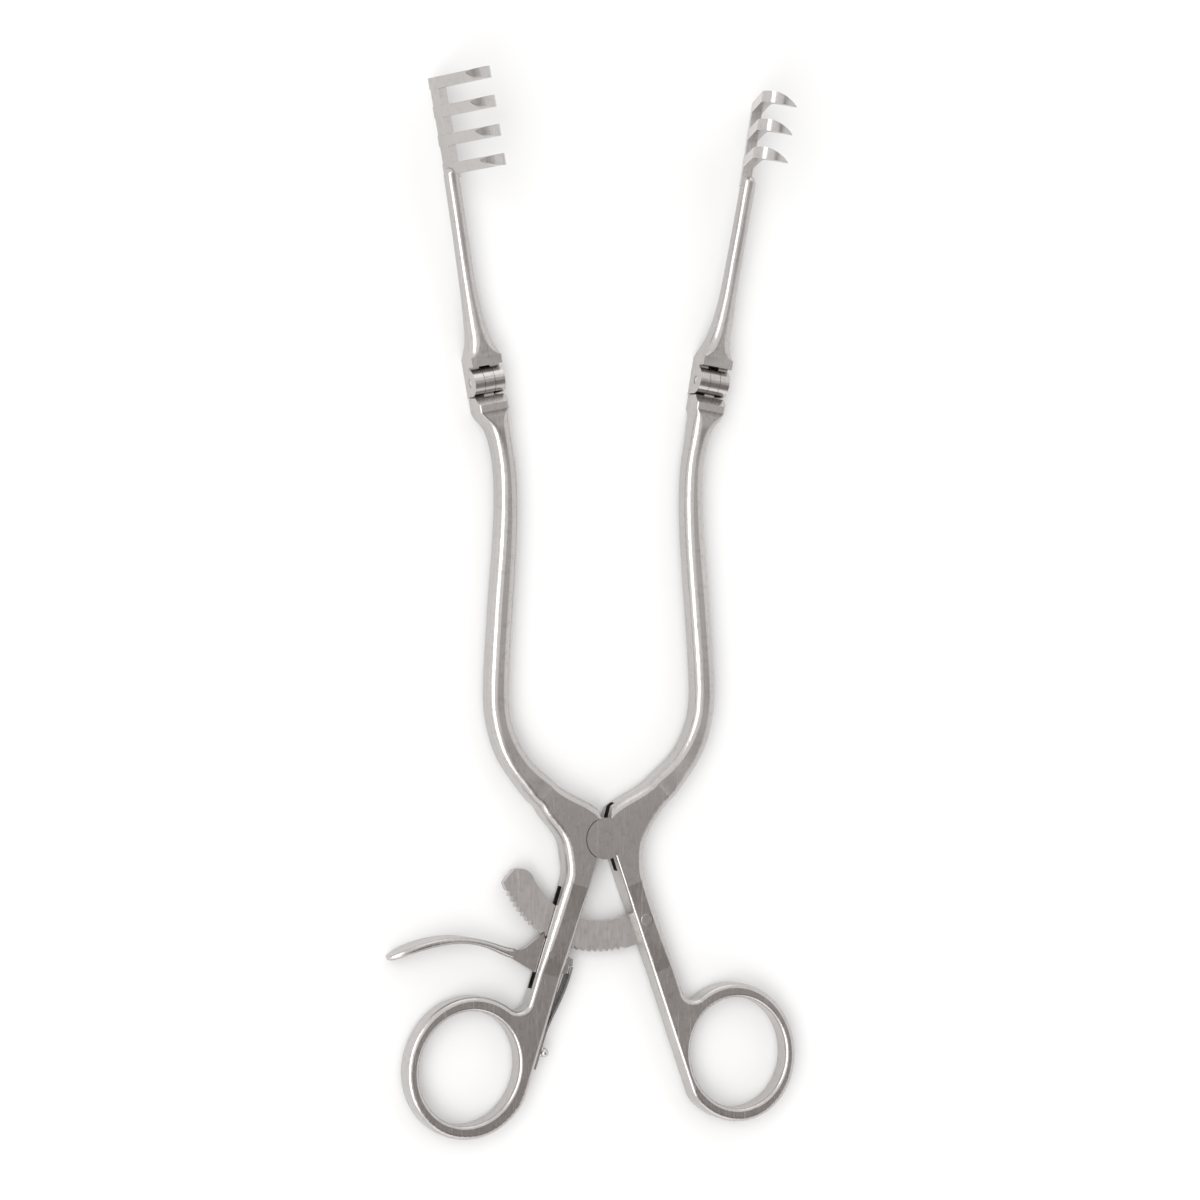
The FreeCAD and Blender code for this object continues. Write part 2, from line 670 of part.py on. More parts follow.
def prong(centre_y, tip_side):
    """One prong of a rake: a straight strip, a quarter bend and a hook that tapers to a point."""
    t = plate_thick
    top = prong_reach
    bend = bend_radius
    slant = bend * (1 - math.sqrt(0.5))
    tip_low = point(hook_reach, top - tip_thick - 0.1)
    under = point(t + 1.2, top - hook_thick)
    inside = point(t, top - hook_thick - 1.2)
    profile = [
        line(point(0, 0), point(0, top - bend)),
        arc(point(0, top - bend), point(slant, top - slant), point(bend, top)),
        line(point(bend, top), point(hook_reach, top - 0.1)),
        line(point(hook_reach, top - 0.1), tip_low),
        arc(tip_low, point((hook_reach + t + 1.2) / 2, top - hook_thick * 0.72), under),
        arc(under, point(t + 0.35, top - hook_thick - 0.35), inside),
        line(inside, point(t, 0)),
        line(point(t, 0), point(0, 0)),
    ]
    half = prong_wide / 2
    strip = slab(profile, -half, half)
    tip_z = -tip_side * half
    full = t + 0.6
    end = hook_reach + 0.01

    def edge_of_taper(side):
        start = side * half
        finish = tip_z + side * tip_wide / 2
        middle = finish + (start - finish) * 0.68
        return arc(point(full, -1, start), point((full + end) / 2, -1, middle), point(end, -1, finish))

    outline = [line(point(-1, -1, -half), point(full, -1, -half)), edge_of_taper(-1),
               line(point(end, -1, tip_z - tip_wide / 2), point(end, -1, tip_z + tip_wide / 2)),
               edge_of_taper(1),
               line(point(full, -1, half), point(-1, -1, half)),
               line(point(-1, -1, half), point(-1, -1, -half))]
    face = Part.Face(Part.Wire(Part.__sortEdges__(outline)))
    strip = strip.common(face.extrude(point(0, top + 2, 0)))
    strip.rotate(point(0, 0, 0), point(1, 0, 0), 90)
    strip.translate(point(0, centre_y, 0))
    return strip


def rake(first, count, end, tip_side):
    """The comb at the end of a blade: spine and prongs cut from one tilted plate."""
    spine = Part.makeBox(plate_thick, end - spine_start, spine_high, point(0, spine_start, 0))
    spine = spine.makeFillet(0.5, [e for e in spine.Edges if abs(e.BoundBox.YMin - spine_start) < 1e-6
                                   and abs(e.BoundBox.YMax - end) < 1e-6 and e.BoundBox.ZMax < 1e-6])
    prongs = [prong(first + i * prong_pitch, tip_side) for i in range(count)]
    comb = spine.fuse(prongs).removeSplitter()
    comb.rotate(point(0, 0, 0), point(0, 1, 0), -rake_tilt_deg)
    return comb


def blade(side, first, count, tip_side):
    """A whole blade: fork of the hinge, arm and rake in one forging."""
    fork, root_top = blade_fork()
    wires = [local_section(root_top, 0.0, 0.0, hinge_wide, hinge_thick, 0.5)]
    for station in blade_stations:
        wires.append(local_section(*station))
    arm_body = loft(wires)
    end = first + (count - 1) * prong_pitch + prong_wide / 2
    comb = rake(first, count, end, tip_side)
    comb.translate(point(spine_shift, 0, spine_rise))
    last = blade_stations[-1]
    knob = Part.makeSphere(last[3] / 2 - 0.1, point(last[1], last[0] - 0.2, last[2]))
    body = fork.fuse([arm_body, comb, knob]).removeSplitter()
    hole = Part.makeCylinder(hinge_pin_dia / 2 + 0.005, hinge_wide + 2,
                             point(-hinge_wide / 2 - 1, 0, 0), point(1, 0, 0))
    body = body.cut(hole)
    return at_hinge(body, side)


nodes = {
    "left_handle": left_handle,
    "right_handle": right_handle,
    "pivot_pin": pivot_pin,
    "ratchet_bar": ratchet_bar,
    "ratchet_pin": bar_pin,
    "release_lever": release_lever,
    "lever_pin": lever_pin,
    "lever_spring": lever_spring,
    "spring_screw": spring_screw,
    "left_blade": lambda: blade(-1, first_left_prong, 4, 0.5),
    "right_blade": lambda: blade(1, first_right_prong, 3, -0.85),
    "left_hinge_pin": lambda: hinge_pin(-1),
    "right_hinge_pin": lambda: hinge_pin(1),
}

os.makedirs("parts", exist_ok=True)
for name, make in nodes.items():
    shape = make()
    print(name, shape.ShapeType, len(shape.Solids), "solids", round(shape.Volume, 1), "mm3", shape.isValid())
    shape.exportStep("parts/" + name + ".step")
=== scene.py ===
"""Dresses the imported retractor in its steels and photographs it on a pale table.

Every length is in metres, in the frame of the solids: X to the right of the photograph, Y from the
finger rings towards the rakes, Z up. The origin is on the pivot, at the back of the box joint.
"""

import logging
import math
from collections.abc import Callable
from dataclasses import dataclass, field
from enum import Enum

import bmesh
import bpy
from mathutils import Matrix, Vector


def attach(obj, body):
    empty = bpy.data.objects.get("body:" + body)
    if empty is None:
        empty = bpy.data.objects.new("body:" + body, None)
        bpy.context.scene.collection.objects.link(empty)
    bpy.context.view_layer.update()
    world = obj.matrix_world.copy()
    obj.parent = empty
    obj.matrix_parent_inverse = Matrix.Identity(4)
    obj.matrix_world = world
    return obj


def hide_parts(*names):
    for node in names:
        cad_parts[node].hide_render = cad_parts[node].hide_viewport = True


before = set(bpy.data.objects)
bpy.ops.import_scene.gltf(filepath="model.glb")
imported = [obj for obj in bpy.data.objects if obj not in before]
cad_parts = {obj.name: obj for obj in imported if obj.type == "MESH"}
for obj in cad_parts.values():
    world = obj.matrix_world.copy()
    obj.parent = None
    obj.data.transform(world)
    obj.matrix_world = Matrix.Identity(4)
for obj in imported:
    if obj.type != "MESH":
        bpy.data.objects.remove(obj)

log = logging.getLogger("retractor")

Pair = tuple[float, float]
Triple = tuple[float, float, float]

MIDDLE_HEIGHT = 0.004   # the middle of the handles' thickness
HINGE_ACROSS = 0.0352   # from the pivot to the middle of a blade's hinge, along X
HINGE_ALONG = 0.1317    # and along Y
TOE_IN_DEG = 10.0       # how far the axis of each hinge is turned from X
END_FACING = 0.99       # how squarely the face of an end looks along its piece


class Steel(Enum):
    """The finishes that the pieces are given, with the names of their materials."""

    FORGED = "satin_forging"
    MILLED = "milled_ratchet"
    BRIGHT = "polished_pin"
    SPRING = "spring_leaf"


class Side(Enum):
    """The sides of the instrument, with their sign along X."""

    LEFT = -1
    RIGHT = 1

    @property
    def word(self) -> str:
        """Returns the side as the names of the nodes have it."""
        return self.name.lower()


def deselect_all() -> None:
    """Leaves nothing selected, so that an operator acts on its own piece only."""
    for item in list(bpy.context.selected_objects):
        item.select_set(False)


def select_only(piece: bpy.types.Object) -> None:
    """Selects one piece and makes it the active one.

    Args:
        piece: The piece that the next operators act on.
    """
    deselect_all()
    piece.select_set(True)
    bpy.context.view_layer.objects.active = piece


def pick_faces(piece: bpy.types.Object, wanted: Callable[[bmesh.types.BMFace], bool]) -> None:
    """Selects some faces of a piece that is in edit mode.

    Args:
        piece: The piece.
        wanted: Says whether a face is selected.
    """
    bpy.ops.mesh.select_all(action="DESELECT")
    shape = bmesh.from_edit_mesh(piece.data)
    for face in shape.faces:
        face.select = wanted(face)
    shape.select_flush_mode()
    bmesh.update_edit_mesh(piece.data)


def remap(tree: bpy.types.NodeTree, value: bpy.types.NodeSocket, span: Pair,
          result: Pair = (0.0, 1.0), interpolation: str = "LINEAR") -> bpy.types.NodeSocket:
    """Adds a node that turns a span of a value into another, and holds it beyond the ends.

    Args:
        tree: The node tree.
        value: The socket with the value.
        span: The two ends of the value.
        result: What the two ends become.
        interpolation: The kind of passage between them.

    Returns:
        The socket with the new value.
    """
    node = tree.nodes.new("ShaderNodeMapRange")
    node.interpolation_type = interpolation
    for label, end in zip(("From Min", "From Max", "To Min", "To Max"), (*span, *result)):
        node.inputs[label].default_value = end
    tree.links.new(value, node.inputs["Value"])
    return node.outputs["Result"]


def blend_towards(tree: bpy.types.NodeTree, factor: bpy.types.NodeSocket,
                  colour: Triple) -> bpy.types.Node:
    """Adds a node that mixes its A input with a colour.

    Args:
        tree: The node tree.
        factor: The socket with the share of the colour.
        colour: The colour that is reached at a factor of 1.

    Returns:
        The mix node.
    """
    mix = tree.nodes.new("ShaderNodeMix")
    mix.data_type = "RGBA"
    mix.inputs["B"].default_value = (*colour, 1.0)
    tree.links.new(factor, mix.inputs["Factor"])
    return mix


@dataclass(frozen=True)
class Finish:
    """A steel surface: its colour and gloss, and how both vary over the piece.

    A scale is per metre, a detail says how fine a noise gets, and a span is the part of a noise
    that has an effect.
    """

    steel: Steel
    colour: Triple
    roughness: float
    cloud_share: float
    stain_share: float
    brush_scale: float
    brush_depth: float
    brush_turn_deg: float = 0.0
    brush_stretch: float = 0.12
    brush_detail: float = 6.0
    brush_span: Pair = (0.3, 0.7)
    bump_strength: float = 0.4
    gloss_share: float = 0.2
    cloud_scale: float = 45.0
    cloud_detail: float = 4.0
    cloud_span: Pair = (0.3, 0.7)
    stain_scale: float = 620.0
    stain_detail: float = 3.0
    stain_span: Pair = (0.52, 0.72)
    stain_tone: float = 0.55
    scratch_scale: float = 1500.0
    scratch_detail: float = 2.0
    scratch_span: Pair = (0.66, 0.74)
    scratch_turn_deg: float = 24.0
    scratch_stretch: float = 0.02
    scratch_gain: float = 0.10

    def build(self) -> bpy.types.Material:
        """Makes the finish as a node material on Object coordinates.

        Returns:
            The material: clouded and finely stained colour, brushed grain and light scratches.
        """
        material = bpy.data.materials.new(self.steel.value)
        material.use_nodes = True
        tree = material.node_tree
        shader = tree.nodes["Principled BSDF"]
        shader.inputs["Metallic"].default_value = 1.0
        place = tree.nodes.new("ShaderNodeTexCoord").outputs["Object"]
        clouds = self._noise(tree, place, self.cloud_scale, self.cloud_detail)
        stains = self._noise(tree, place, self.stain_scale, self.stain_detail)
        grain = self._stretch(tree, place, self.brush_turn_deg, self.brush_stretch)
        brushed = self._noise(tree, grain, self.brush_scale, self.brush_detail)
        streaks = self._stretch(tree, place, self.brush_turn_deg + self.scratch_turn_deg,
                                self.scratch_stretch)
        scratches = self._noise(tree, streaks, self.scratch_scale, self.scratch_detail)
        tree.links.new(self._colours(tree, clouds, stains), shader.inputs["Base Color"])
        tree.links.new(self._gloss(tree, brushed, scratches), shader.inputs["Roughness"])
        bump = tree.nodes.new("ShaderNodeBump")
        bump.inputs["Strength"].default_value = self.bump_strength
        bump.inputs["Distance"].default_value = self.brush_depth
        tree.links.new(brushed, bump.inputs["Height"])
        tree.links.new(bump.outputs["Normal"], shader.inputs["Normal"])
        return material

    @staticmethod
    def _noise(tree: bpy.types.NodeTree, place: bpy.types.NodeSocket, scale: float,
               detail: float) -> bpy.types.NodeSocket:
        """Adds a noise pattern.

        Args:
            tree: The material's node tree.
            place: The coordinates that the pattern follows.
            scale: Its scale per metre.
            detail: How fine its smallest features are.

        Returns:
            The socket with the noise value.
        """
        noise = tree.nodes.new("ShaderNodeTexNoise")
        noise.inputs["Scale"].default_value = scale
        noise.inputs["Detail"].default_value = detail
        tree.links.new(place, noise.inputs["Vector"])
        return noise.outputs["Fac"]

    @staticmethod
    def _stretch(tree: bpy.types.NodeTree, place: bpy.types.NodeSocket, turn_deg: float,
                 stretch: float) -> bpy.types.NodeSocket:
        """Turns the coordinates about Z and draws the pattern out along Y, as a grinding belt does.

        Args:
            tree: The material's node tree.
            place: The coordinates to change.
            turn_deg: The turn about Z in degrees.
            stretch: The scale along Y, under 1 for long marks.

        Returns:
            The socket with the changed coordinates.
        """
        mapping = tree.nodes.new("ShaderNodeMapping")
        mapping.inputs["Rotation"].default_value = (0.0, 0.0, math.radians(turn_deg))
        mapping.inputs["Scale"].default_value = (1.0, stretch, 1.0)
        tree.links.new(place, mapping.inputs["Vector"])
        return mapping.outputs["Vector"]

    def _colours(self, tree: bpy.types.NodeTree, clouds: bpy.types.NodeSocket,
                 stains: bpy.types.NodeSocket) -> bpy.types.NodeSocket:
        """Varies the colour in broad clouds and darkens it in fine specks.

        Args:
            tree: The material's node tree.
            clouds: The broad noise.
            stains: The fine noise.

        Returns:
            The socket with the colour.
        """
        tint = tree.nodes.new("ShaderNodeValToRGB")
        for element, position, sign in zip(tint.color_ramp.elements, self.cloud_span, (-1.0, 1.0)):
            gain = 1.0 + sign * self.cloud_share
            element.position = position
            element.color = (*(min(1.0, c * gain) for c in self.colour), 1.0)
        tree.links.new(clouds, tint.inputs["Fac"])
        specks = remap(tree, stains, self.stain_span, (0.0, self.stain_share))
        mix = blend_towards(tree, specks, tuple(c * self.stain_tone for c in self.colour))
        tree.links.new(tint.outputs["Color"], mix.inputs["A"])
        return mix.outputs["Result"]

    def _gloss(self, tree: bpy.types.NodeTree, brushed: bpy.types.NodeSocket,
               scratches: bpy.types.NodeSocket) -> bpy.types.NodeSocket:
        """Makes the roughness follow the brushing, with duller lines where it is scratched.

        Args:
            tree: The material's node tree.
            brushed: The brushed noise.
            scratches: The long thin noise.

        Returns:
            The socket with the roughness.
        """
        smoothest = self.roughness * (1.0 - self.gloss_share)
        dullest = self.roughness * (1.0 + self.gloss_share)
        gloss = remap(tree, brushed, self.brush_span, (smoothest, dullest))
        lines = remap(tree, scratches, self.scratch_span, (0.0, self.scratch_gain))
        add = tree.nodes.new("ShaderNodeMath")
        add.operation = "ADD"
        tree.links.new(gloss, add.inputs[0])
        tree.links.new(lines, add.inputs[1])
        return add.outputs["Value"]


FINISHES = (
    Finish(Steel.FORGED, colour=(0.53, 0.508, 0.495), roughness=0.23, cloud_share=0.05,
           stain_share=0.22, brush_scale=2600.0, brush_depth=0.000015),
    Finish(Steel.MILLED, colour=(0.57, 0.545, 0.53), roughness=0.36, cloud_share=0.05,
           stain_share=0.25, brush_scale=2200.0, brush_depth=0.00002, brush_turn_deg=62.0),
    Finish(Steel.BRIGHT, colour=(0.60, 0.58, 0.565), roughness=0.20, cloud_share=0.04,
           stain_share=0.15, brush_scale=3000.0, brush_depth=0.00001),
    Finish(Steel.SPRING, colour=(0.42, 0.405, 0.395), roughness=0.28, cloud_share=0.08,
           stain_share=0.25, brush_scale=3000.0, brush_depth=0.00001),
)


@dataclass
class PhotoCamera:
    """The camera of the photograph.

    It looks back at the target along its own direction, and then slides and climbs in its own
    picture plane. The angles and the distance are set so that the instrument fills the picture as
    it does in the photograph.
    """

    target: Triple = (0.0, 0.0, MIDDLE_HEIGHT)
    turn_deg: float = 23.15
    rise_deg: float = 1.26
    roll_deg: float = -0.26
    distance: float = 1.223
    slide: float = -0.0002
    climb: float = 0.0687
    focal_pixels: float = 4232.0
    image_pixels: float = 1200.0
    sensor_mm: float = 36.0
    nearest: float = 0.1
    farthest: float = 10.0

    def build(self) -> None:
        """Adds the camera and makes it the scene's."""
        turn, rise, roll = (math.radians(a) for a in (self.turn_deg, self.rise_deg, self.roll_deg))
        back = Vector((
            -math.sin(turn) * math.cos(rise),
            math.sin(rise),
            math.cos(turn) * math.cos(rise),
        ))
        right = Vector((0.0, 1.0, 0.0)).cross(back).normalized()
        upward = back.cross(right)
        side = right * math.cos(roll) + upward * math.sin(roll)
        top = upward * math.cos(roll) - right * math.sin(roll)
        place = Vector(self.target) + back * self.distance + side * self.slide + top * self.climb
        data = bpy.data.cameras.new("photo_camera")
        data.sensor_width = self.sensor_mm
        data.lens = data.sensor_width * self.focal_pixels / self.image_pixels
        data.clip_start, data.clip_end = self.nearest, self.farthest
        camera = bpy.data.objects.new("photo_camera", data)
        camera.matrix_world = Matrix((
            (side.x, top.x, back.x, place.x),
            (side.y, top.y, back.y, place.y),
            (side.z, top.z, back.z, place.z),
            (0.0, 0.0, 0.0, 1.0),
        ))
        bpy.context.scene.collection.objects.link(camera)
        bpy.context.scene.camera = camera


@dataclass(frozen=True)
class SoftBox:
    """One rectangular lamp that points at the instrument."""

    name: str
    place: Triple
    long_side: float
    short_side: float
    power: float
    aim: Triple = (0.0, 0.05, 0.0)

    def hang(self) -> None:
        """Hangs the lamp, with its long side level."""
        data = bpy.data.lights.new(self.name, "AREA")
        data.shape = "RECTANGLE"
        data.size, data.size_y = self.long_side, self.short_side
        data.energy = self.power
        lamp = bpy.data.objects.new(self.name, data)
        lamp.location = self.place
        way = Vector(self.aim) - Vector(self.place)
        lamp.rotation_euler = way.to_track_quat("-Z", "Y").to_euler()
        bpy.context.scene.collection.objects.link(lamp)


@dataclass(frozen=True)
class TentGap:
    """A dark opening in the studio's tent, which the steel reflects."""

    colour: Triple
    way: Triple
    outer_deg: float
    inner_deg: float

    def open(self, tree: bpy.types.NodeTree, way: bpy.types.NodeSocket) -> bpy.types.Node:
        """Adds the nodes that darken the tent round the gap's direction.

        Args:
            tree: The world's node tree.
            way: The socket with the direction looked at.

        Returns:
            The mix node, whose A input takes the tent's colour.
        """
        nearness = tree.nodes.new("ShaderNodeVectorMath")
        nearness.operation = "DOT_PRODUCT"
        nearness.inputs[1].default_value = Vector(self.way).normalized()
        tree.links.new(way, nearness.inputs[0])
        edge = tuple(math.cos(math.radians(a)) for a in (self.outer_deg, self.inner_deg))
        darkness = remap(tree, nearness.outputs["Value"], edge, interpolation="SMOOTHSTEP")
        return blend_towards(tree, darkness, self.colour)


@dataclass
class Studio:
    """The pale table and the soft light round it: a white tent with two dark gaps overhead."""

    table_size: float = 24.0
    table_colour: Triple = (0.82, 0.82, 0.82)
    table_roughness: float = 0.9
    far_colour: Triple = (0.98, 0.98, 0.98)
    near_radius: float = 0.5
    far_radius: float = 1.6
    lamps: tuple[SoftBox, ...] = (
        SoftBox("left_soft_box", (-1.17, -0.1, 1.50), long_side=2.3, short_side=0.95, power=19.0),
        SoftBox("far_soft_box", (0.3, 1.6, 0.9), long_side=1.1, short_side=1.1, power=2.0),
        SoftBox("near_soft_box", (0.1, -1.6, 0.9), long_side=1.1, short_side=1.1, power=2.0),
    )
    tent: Triple = (1.05, 1.045, 1.04)
    gaps: tuple[TentGap, ...] = (
        TentGap((0.27, 0.242, 0.23), way=(0.32, -0.43, 0.845), outer_deg=29.5, inner_deg=17.0),
        TentGap((0.12, 0.108, 0.10), way=(0.37, 0.14, 0.918), outer_deg=7.5, inner_deg=3.0),
    )

    def build(self) -> None:
        """Lays the table, hangs the lamps and sets the tent."""
        bpy.context.scene.view_settings.view_transform = "Standard"
        deselect_all()
        bpy.ops.mesh.primitive_plane_add(size=self.table_size, location=(0.0, 0.0, 0.0))
        table = bpy.context.object
        table.name = "pale_table"
        table.data.materials.append(self._table_material())
        for lamp in self.lamps:
            lamp.hang()
        self._pitch_tent()

    def _table_material(self) -> bpy.types.Material:
        """Makes the matt white of the table, paler far off so that it melts into the tent.

        Returns:
            The material.
        """
        material = bpy.data.materials.new("pale_table")
        material.use_nodes = True
        tree = material.node_tree
        shader = tree.nodes["Principled BSDF"]
        shader.inputs["Roughness"].default_value = self.table_roughness
        place = tree.nodes.new("ShaderNodeTexCoord").outputs["Object"]
        distance = tree.nodes.new("ShaderNodeVectorMath")
        distance.operation = "LENGTH"
        tree.links.new(place, distance.inputs[0])
        farness = remap(tree, distance.outputs["Value"], (self.near_radius, self.far_radius),
                        interpolation="SMOOTHSTEP")
        mix = blend_towards(tree, farness, self.far_colour)
        mix.inputs["A"].default_value = (*self.table_colour, 1.0)
        tree.links.new(mix.outputs["Result"], shader.inputs["Base Color"])
        return material

    def _pitch_tent(self) -> None:
        """Sets the white tent round the table, with its dark gaps over the instrument."""
        world = bpy.data.worlds.new("studio_tent")
        bpy.context.scene.world = world
        world.use_nodes = True
        tree = world.node_tree
        way = tree.nodes.new("ShaderNodeTexCoord").outputs["Generated"]
        colour = None
        for gap in self.gaps:
            mix = gap.open(tree, way)
            if colour is None:
                mix.inputs["A"].default_value = (*self.tent, 1.0)
            else:
                tree.links.new(colour, mix.inputs["A"])
            colour = mix.outputs["Result"]
        tree.links.new(colour, tree.nodes["Background"].inputs["Color"])


@dataclass
class SubAssembly:
    """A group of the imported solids, each with its finish."""

    title: str
    looks: dict[str, Steel]
    solids: dict[str, bpy.types.Object] = field(default_factory=dict)

    def build(self) -> None:
        """Takes the group's solids from the frame, as they are."""
        self.solids = {name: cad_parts[name] for name in self.looks}

    def dress(self, steels: dict[Steel, bpy.types.Material]) -> None:
        """Gives each solid its finish.

        Args:
            steels: The materials by finish.
        """
        for name, steel in self.looks.items():
            materials = self.solids[name].data.materials
            materials.clear()
            materials.append(steels[steel])
            log.info("%s: %s in %s", self.title, name, steel.value)


@dataclass
class TurnedPiece:
    """A pin or screw turned on a lathe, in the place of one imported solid.

    It is made upright, its foot at the origin, and then laid in its place. Each end is drawn out
    ring by ring: the ring's radius, and how far it stands beyond the one before it.
    """

    name: str
    node: str
    body: str
    slot: str
    steel: Steel
    foot: Triple
    way: Triple
    radius: float
    length: float
    foot_rings: tuple[Pair, ...]
    head_rings: tuple[Pair, ...]
    sides: int = 48
    smooth_deg: float = 32.0
    piece: bpy.types.Object | None = None

    def build(self) -> None:
        """Turns the piece and lays it in its place, which is then in its mesh."""
        deselect_all()
        bpy.ops.mesh.primitive_cylinder_add(
            vertices=self.sides, radius=self.radius, depth=self.length,
            location=(0.0, 0.0, self.length / 2.0),
        )
        self.piece = bpy.context.object
        self.piece.name = self.name
        bpy.ops.object.transform_apply(location=True, rotation=True, scale=True)
        bpy.ops.object.mode_set(mode="EDIT")
        bpy.ops.mesh.select_mode(type="FACE")
        self._draw_out(self.foot_rings, -1.0)
        self._draw_out(self.head_rings, 1.0)
        bpy.ops.object.mode_set(mode="OBJECT")
        self.detail()
        self._lay()
        bpy.ops.object.shade_smooth_by_angle(angle=math.radians(self.smooth_deg))

    def detail(self) -> None:
        """Adds nothing: a plain pin is finished by its end rings."""

    def _draw_out(self, rings: tuple[Pair, ...], way: float) -> None:
        """Draws one end out ring by ring.

        Args:
            rings: Each ring's radius, and how far it stands beyond the one before it.
            way: 1 for the upper end, -1 for the lower end.
        """
        pick_faces(self.piece, lambda face: face.normal.z * way > END_FACING)
        before = self.radius
        for radius, rise in rings:
            bpy.ops.mesh.extrude_region_move(
                TRANSFORM_OT_translate={"value": (0.0, 0.0, way * rise)},
            )
            bpy.ops.transform.resize(
                value=(radius / before, radius / before, 1.0), center_override=(0.0, 0.0, 0.0),
            )
            before = radius

    def _lay(self) -> None:
        """Turns the upright piece to its own direction and moves it to its foot."""
        turn = Vector(self.way).normalized().to_track_quat("Z", "Y").to_matrix().to_4x4()
        self.piece.matrix_world = Matrix.Translation(Vector(self.foot)) @ turn
        bpy.ops.object.transform_apply(location=True, rotation=True, scale=True)

    def dress(self, steels: dict[Steel, bpy.types.Material]) -> None:
        """Gives the piece its finish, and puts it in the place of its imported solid.

        Args:
            steels: The materials by finish.
        """
        self.piece.data.materials.append(steels[self.steel])
        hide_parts(self.node)
        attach(self.piece, self.body)
        log.info("%s stands for %s on %s", self.name, self.node, self.body)


@dataclass
class SlottedScrew(TurnedPiece):
    """A turned screw whose head has a driver slot."""

    slot_width: float = 0.0005
    slot_depth: float = 0.0005
    slot_turn_deg: float = 28.0
    slot_reach: float = 2.6

    def detail(self) -> None:
        """Cuts the driver slot across the top of the head with a bar that lies half in it."""
        head_top = self.length + sum(rise for _, rise in self.head_rings)
        deselect_all()
        bpy.ops.mesh.primitive_cube_add(size=1.0, location=(0.0, 0.0, head_top))
        cutter = bpy.context.object
        cutter.scale = (self.radius * self.slot_reach, self.slot_width, self.slot_depth * 2.0)
        cutter.rotation_euler = (0.0, 0.0, math.radians(self.slot_turn_deg))
        bpy.ops.object.transform_apply(location=True, rotation=True, scale=True)
        select_only(self.piece)
        cut = self.piece.modifiers.new("driver_slot", "BOOLEAN")
        cut.operation = "DIFFERENCE"
        cut.solver = "EXACT"
        cut.object = cutter
        bpy.ops.object.modifier_apply(modifier=cut.name)
        bpy.data.objects.remove(cutter)


@dataclass
class Blade:
    """One blade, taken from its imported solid, with its prongs curled over like claws.

    The solid's prongs run straight after their bend. Here each one levels out and turns down
    towards its point. A knot gives a place across the blade, from the middle of its hinge, and how
    far the prong is lifted there. The curl sets in between the heights fade_from and fade_to, and
    the prong reaches further by reach_gain at its point, growing from reach_from across the blade.
    """

    side: Side
    knots: tuple[Pair, ...]
    reach_gain: float = 0.0
    reach_from: float = -0.0010
    fade_from: float = 0.0225
    fade_to: float = 0.0275
    merge: float = 0.000001
    smooth_deg: float = 28.0
    steel: Steel = Steel.FORGED
    piece: bpy.types.Object | None = None

    def build(self) -> None:
        """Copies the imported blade, merges the copy and curls its prongs."""
        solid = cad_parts[f"{self.side.word}_blade"]
        self.piece = bpy.data.objects.new(f"{self.side.word}_blade_curled", solid.data.copy())
        bpy.context.scene.collection.objects.link(self.piece)
        select_only(self.piece)
        bpy.ops.mesh.customdata_custom_splitnormals_clear()
        bpy.ops.object.mode_set(mode="EDIT")
        bpy.ops.mesh.select_mode(type="FACE")
        bpy.ops.mesh.select_all(action="SELECT")
        bpy.ops.mesh.remove_doubles(threshold=self.merge)
        for across, _ in self.knots[1:-1]:
            self._cut(across)
        bpy.ops.object.mode_set(mode="OBJECT")
        for point in self.piece.data.vertices:
            point.co = self._curled(point.co)
        bpy.ops.object.shade_smooth_by_angle(angle=math.radians(self.smooth_deg))

    def _axis(self) -> Vector:
        """Returns the direction across the blade, towards the side where its prongs point."""
        turn = math.radians(TOE_IN_DEG)
        return Vector((self.side.value * math.cos(turn), -math.sin(turn), 0.0))

    def _middle(self) -> Vector:
        """Returns the middle of the blade's hinge, at the height of the table."""
        return Vector((self.side.value * HINGE_ACROSS, HINGE_ALONG, 0.0))

    def _cut(self, across: float) -> None:
        """Cuts the prongs' faces at one knot, so that they can be curled there.

        Args:
            across: The knot's place across the blade.
        """
        pick_faces(
            self.piece,
            lambda face: max(corner.co.z for corner in face.verts) > self.fade_from,
        )
        bpy.ops.mesh.bisect(
            plane_co=self._middle() + self._axis() * across, plane_no=self._axis(),
        )

    def _lift(self, across: float) -> float:
        """Finds how far a prong is lifted, in a straight line from knot to knot.

        Args:
            across: A place across the blade.

        Returns:
            The lift there.
        """
        lift = self.knots[0][1] if across < self.knots[0][0] else self.knots[-1][1]
        for (near, low), (far, high) in zip(self.knots, self.knots[1:]):
            if near <= across <= far:
                lift = low + (high - low) * (across - near) / (far - near)
        return lift

    def _curled(self, place: Vector) -> Vector:
        """Finds where a point of the blade goes.

        Args:
            place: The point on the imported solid.

        Returns:
            Its place on the curled prong, or the same place below the prongs.
        """
        share = min(1.0, max(0.0, (place.z - self.fade_from) / (self.fade_to - self.fade_from)))
        if share == 0.0:
            return place
        axis = self._axis()
        across = (Vector((place.x, place.y, 0.0)) - self._middle()).dot(axis)
        run = max(0.0, across - self.reach_from) / (self.knots[-1][0] - self.reach_from)
        eased = share * share * (3.0 - 2.0 * share)
        rise = Vector((0.0, 0.0, self._lift(across) * eased))
        return place + rise + axis * (self.reach_gain * run)

    def dress(self, steels: dict[Steel, bpy.types.Material]) -> None:
        """Gives the blade its finish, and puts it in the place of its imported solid.

        Args:
            steels: The materials by finish.
        """
        self.piece.data.materials.clear()
        self.piece.data.materials.append(steels[self.steel])
        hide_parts(f"{self.side.word}_blade")
        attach(self.piece, f"{self.side.word}_blade")
        log.info("%s stands for %s_blade", self.piece.name, self.side.word)


